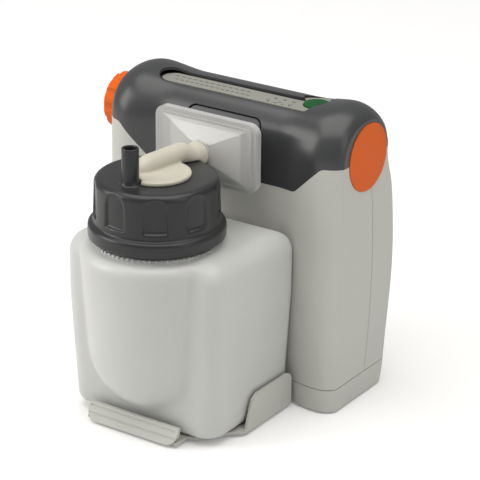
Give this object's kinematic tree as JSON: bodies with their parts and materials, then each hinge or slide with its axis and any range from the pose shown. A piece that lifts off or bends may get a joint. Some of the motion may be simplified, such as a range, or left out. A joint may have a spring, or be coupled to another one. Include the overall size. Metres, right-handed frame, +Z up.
{
  "type": "portable suction unit with canister",
  "caption": "Portable suction unit whose collection canister stands in a cradle at its front, joined to the pump by an elbow and a flat filter.",
  "frame": {"origin": "centre of the bounding box on the surface that the feet stand on", "axes": "+X to the viewer's right along the front, +Y to the back, +Z up"},
  "size_m": [0.227, 0.2234, 0.2326],
  "materials": {
    "case_shell": "fine moulded texture, light warm grey",
    "cradle_shell": "fine moulded texture, light warm grey",
    "dark_housing": "satin charcoal",
    "dark_cap": "satin charcoal, moulded",
    "orange_knob": "bright orange",
    "orange_disc": "bright orange",
    "strip_panel": "printed foil, pale grey",
    "green_button": "green",
    "light_guide": "clear light guides",
    "clear_shell": "clear moulded shell",
    "filter_paper": "white filter fleece",
    "cream_elbow": "cream, soft satin",
    "milky_jar": "milky translucent, blown and moulded",
    "float_plastic": "white plastic",
    "seal_rubber": "soft rubber",
    "foot_rubber": "black rubber",
    "hose_rubber": "soft tube",
    "steel": "plain steel",
    "motor_can": "zinc grey",
    "pump_plastic": "black engineering plastic",
    "battery_wrap": "shrink wrap",
    "board": "green laminate",
    "board_parts": "black"
  },
  "bodies": {
    "case": {"base_tray": "case_shell", "battery_pack": "battery_wrap", "bleed_hose": "hose_rubber", "case_screw_1": "steel", "case_screw_2": "steel", "case_screw_3": "steel", "case_screw_4": "steel", "circuit_board": "board", "control_strip": "strip_panel", "controller_chip": "board_parts", "crank_case": "pump_plastic", "dial_plate": "dark_housing", "exhaust_silencer": "pump_plastic", "filter_front_shell": "clear_shell", "filter_medium": "filter_paper", "filter_rear_shell": "clear_shell", "foot_1": "foot_rubber", "foot_2": "foot_rubber", "foot_3": "foot_rubber", "foot_4": "foot_rubber", "front_shell": "case_shell", "inlet_jack": "pump_plastic", "motor_saddle": "pump_plastic", "port_hose": "hose_rubber", "port_plate": "dark_housing", "power_switch": "board_parts", "pump_head": "pump_plastic", "pump_motor": "motor_can", "pump_tray": "pump_plastic", "rear_shell": "case_shell", "regulator_valve": "pump_plastic", "side_disc": "orange_disc", "status_lights": "light_guide", "suction_port": "dark_housing", "top_housing": "dark_housing"},
    "knob": {"regulator_knob": "orange_knob", "knob_shaft": "steel"},
    "button": {"power_button": "green_button"},
    "canister": {"cradle": "cradle_shell", "cradle_pad_1": "foot_rubber", "cradle_pad_2": "foot_rubber", "jar": "milky_jar", "canister_cap": "dark_cap", "cap_gasket": "seal_rubber", "float_cage": "float_plastic", "elbow": "cream_elbow"},
    "float": {"float_body": "float_plastic", "float_seal": "seal_rubber"},
    "rotor": {"rotor_shaft": "steel", "counterweight": "steel"}
  },
  "joints": [
    {"name": "knob_turn", "type": "hinge", "parent": "case", "child": "knob", "pos_m": [-0.0961, 0.06114, 0.1943], "axis": [1, 0, 0], "range_deg": [0, 270]},
    {"name": "power_press", "type": "slide", "parent": "case", "child": "button", "axis": [0, 0, -1], "range_m": [0, 0.0012], "stiffness_N_per_m": 400, "springref_m": -0.0008},
    {"name": "dock_slide", "type": "slide", "parent": "case", "child": "canister", "axis": [0, -1, 0], "range_m": [0, 0.04]},
    {"name": "float_rise", "type": "slide", "parent": "canister", "child": "float", "axis": [0, 0, 1], "range_m": [0, 0.0078]},
    {"name": "pump_spin", "type": "hinge", "parent": "case", "child": "rotor", "pos_m": [-0.0316, 0.06414, 0.108], "axis": [1, 0, 0], "continuous": true}
  ]
}
